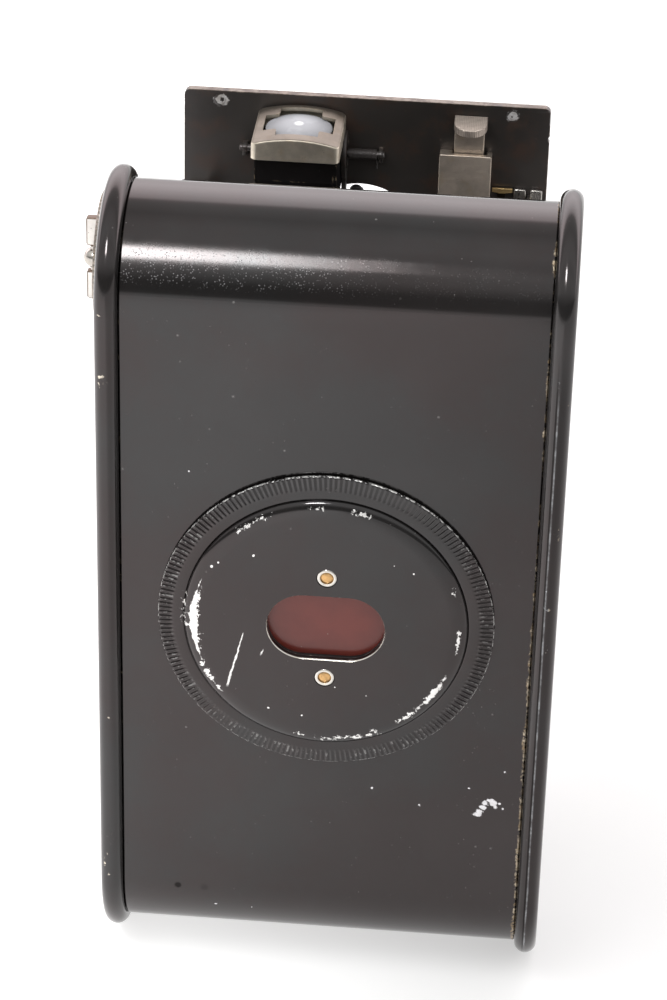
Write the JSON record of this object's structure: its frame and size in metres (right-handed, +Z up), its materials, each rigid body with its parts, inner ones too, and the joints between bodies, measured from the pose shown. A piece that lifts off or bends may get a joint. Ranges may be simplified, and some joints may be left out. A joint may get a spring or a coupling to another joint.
{
  "type": "strut folding camera",
  "caption": "Vest-pocket roll-film camera in enamelled metal: rounded shell, screw-in back disc with red window, lens board carried on folding cross struts and bellows.",
  "frame": {"origin": "centre of the raised flat face of the round back disc, on the optical axis", "axes": "+Y along the optical axis towards the lens, +X to the right as seen from the back, +Z up with the camera standing on its short end"},
  "size_m": [0.0671, 0.0726, 0.1218],
  "materials": {
    "black_enamel": "gloss black stoving enamel, worn at the edges",
    "black_board": "satin black enamel, brownish with age",
    "blackened": "blackened sheet",
    "nickel": "dull nickel plate on brass",
    "strut_nickel": "nickelled steel strip",
    "brass": "bare brass leaf",
    "leather": "thin black bellows leather",
    "felt": "black felt",
    "red_film": "dull red celluloid",
    "glass": "clear optical glass",
    "mirror": "silvered glass"
  },
  "bodies": {
    "camera_body": {"bellows": "leather", "bellows_rear_frame": "blackened", "body_shell": "black_enamel", "film_gate": "blackened", "key_escutcheon": "nickel", "left_side_plate": "black_enamel", "strut_rail_left": "blackened", "strut_rail_right": "blackened", "strut_rear_pins": "strut_nickel", "supply_spool_pin": "nickel"},
    "side_cover": {"right_side_cover": "black_enamel", "cover_spring_clips": "blackened", "cover_spool_pins": "nickel"},
    "disc_carrier": {"disc_seal": "felt"},
    "disc": {"back_disc": "black_enamel", "window_retainer": "blackened", "red_window": "red_film", "window_rivets": "nickel"},
    "roller_top": {"film_roller_top": "nickel"},
    "roller_bottom": {"film_roller_bottom": "nickel"},
    "winder": {"key_shaft": "nickel", "key_hub": "nickel", "winding_key": "nickel", "takeup_spool": "blackened"},
    "supply": {"supply_spool": "blackened"},
    "strut_up_right": {"strut_up_right": "strut_nickel", "strut_up_pins_right": "strut_nickel"},
    "strut_up_left": {"strut_up_left": "strut_nickel", "strut_up_pins_left": "strut_nickel"},
    "strut_down_right": {"strut_down_right": "strut_nickel", "strut_down_pin_right": "strut_nickel"},
    "strut_down_left": {"strut_down_left": "strut_nickel", "strut_down_pin_left": "strut_nickel"},
    "lens_standard": {"lens_board": "black_board", "board_rivets": "nickel", "strut_front_pins": "strut_nickel", "strut_bracket_right": "strut_nickel", "strut_bracket_left": "strut_nickel", "bellows_front_frame": "blackened", "finder_hinge_rod": "blackened", "finder_spring": "blackened", "release_guide": "nickel", "release_spring": "brass", "trip_lever_pin": "strut_nickel", "shutter_case": "black_board", "shutter_cover": "black_board", "lens_cell": "nickel", "meniscus_lens": "glass", "lens_retainer": "blackened", "stand_leg_pivot": "nickel"},
    "finder": {"finder_cap": "nickel", "finder_top_lens": "glass", "finder_housing": "black_board", "finder_front_lens": "glass", "finder_mirror": "mirror"},
    "release": {"release_slide": "nickel"},
    "trip": {"trip_lever": "blackened"},
    "shutter": {"shutter_blade": "blackened"},
    "stops": {"stop_wheel": "nickel"},
    "leg": {"stand_leg": "black_board"}
  },
  "joints": [
    {"name": "struts_fold", "type": "hinge", "parent": "camera_body", "child": "strut_up_right", "pos_m": [0.02575, 0.0193, -0.0345], "axis": [1, 0, 0], "range_deg": [0, 23.03], "deforming": ["bellows"]},
    {"name": "strut_cross_right", "type": "hinge", "parent": "strut_up_right", "child": "strut_down_right", "pos_m": [0.02485, 0.03875, -0.00625], "axis": [1, 0, 0], "range_deg": [-46.06, 0]},
    {"name": "board_pivot_right", "type": "hinge", "parent": "strut_down_right", "child": "lens_standard", "pos_m": [0.02395, 0.0582, -0.0345], "axis": [1, 0, 0], "range_deg": [0, 23.04]},
    {"name": "strut_up_left_fold", "type": "hinge", "parent": "camera_body", "child": "strut_up_left", "pos_m": [-0.02575, 0.0193, -0.0345], "axis": [1, 0, 0], "range_deg": [0, 23.04]},
    {"name": "strut_cross_left", "type": "hinge", "parent": "strut_up_left", "child": "strut_down_left", "pos_m": [-0.02485, 0.03875, -0.00625], "axis": [1, 0, 0], "range_deg": [-46.06, 0]},
    {"name": "finder_tip", "type": "hinge", "parent": "lens_standard", "child": "finder", "pos_m": [-0.0097, 0.0602, 0.044], "axis": [1, 0, 0], "range_deg": [0, 91.5]},
    {"name": "release_press", "type": "slide", "parent": "lens_standard", "child": "release", "axis": [0, 0, -1], "range_m": [0, 0.003], "deforming": ["release_spring"]},
    {"name": "trip_turn", "type": "hinge", "parent": "lens_standard", "child": "trip", "pos_m": [-0.0009, 0.0604, 0.0295], "axis": [0, 1, 0], "range_deg": [0, 13.05]},
    {"name": "shutter_swing", "type": "hinge", "parent": "lens_standard", "child": "shutter", "pos_m": [0.0115, 0.0652, 0.008], "axis": [0, 1, 0], "range_deg": [0, 35.05]},
    {"name": "stop_turn", "type": "hinge", "parent": "lens_standard", "child": "stops", "pos_m": [0, 0.0685, -0.0112], "axis": [0, 1, 0], "continuous": true},
    {"name": "leg_swing", "type": "hinge", "parent": "lens_standard", "child": "leg", "pos_m": [0, 0.063, -0.046], "axis": [0, 1, 0], "range_deg": [0, 90]},
    {"name": "key_wind", "type": "hinge", "parent": "camera_body", "child": "winder", "pos_m": [-0.033, 0.0155, 0.0472], "axis": [1, 0, 0], "continuous": true},
    {"name": "supply_turn", "type": "hinge", "parent": "camera_body", "child": "supply", "pos_m": [0, 0.01467, -0.04693], "axis": [1, 0, 0], "continuous": true},
    {"name": "roller_top_turn", "type": "hinge", "parent": "camera_body", "child": "roller_top", "pos_m": [0, 0.0066, 0.03975], "axis": [1, 0, 0], "continuous": true},
    {"name": "roller_bottom_turn", "type": "hinge", "parent": "camera_body", "child": "roller_bottom", "pos_m": [0, 0.0066, -0.03975], "axis": [1, 0, 0], "continuous": true},
    {"name": "disc_lift", "type": "slide", "parent": "camera_body", "child": "disc_carrier", "axis": [0, -1, 0], "range_m": [0, 0.00151]},
    {"name": "disc_unscrew", "type": "hinge", "parent": "disc_carrier", "child": "disc", "pos_m": [0, 0, 0], "axis": [0, -1, 0], "range_deg": [0, 360]},
    {"name": "cover_off", "type": "slide", "parent": "camera_body", "child": "side_cover", "axis": [1, 0, 0], "range_m": [0, 0.03]}
  ],
  "couplings": [
    {"joint": "strut_cross_right", "follows": "struts_fold", "ratio": -2},
    {"joint": "board_pivot_right", "follows": "struts_fold", "ratio": 1},
    {"joint": "strut_up_left_fold", "follows": "struts_fold", "ratio": 1},
    {"joint": "strut_cross_left", "follows": "struts_fold", "ratio": -2},
    {"joint": "finder_tip", "follows": "struts_fold", "ratio": 3.9088},
    {"joint": "trip_turn", "follows": "release_press", "rad_per_m": 75.631},
    {"joint": "shutter_swing", "follows": "release_press", "rad_per_m": 203.62},
    {"joint": "disc_lift", "follows": "disc_unscrew", "m_per_rad": 0.00023873}
  ]
}
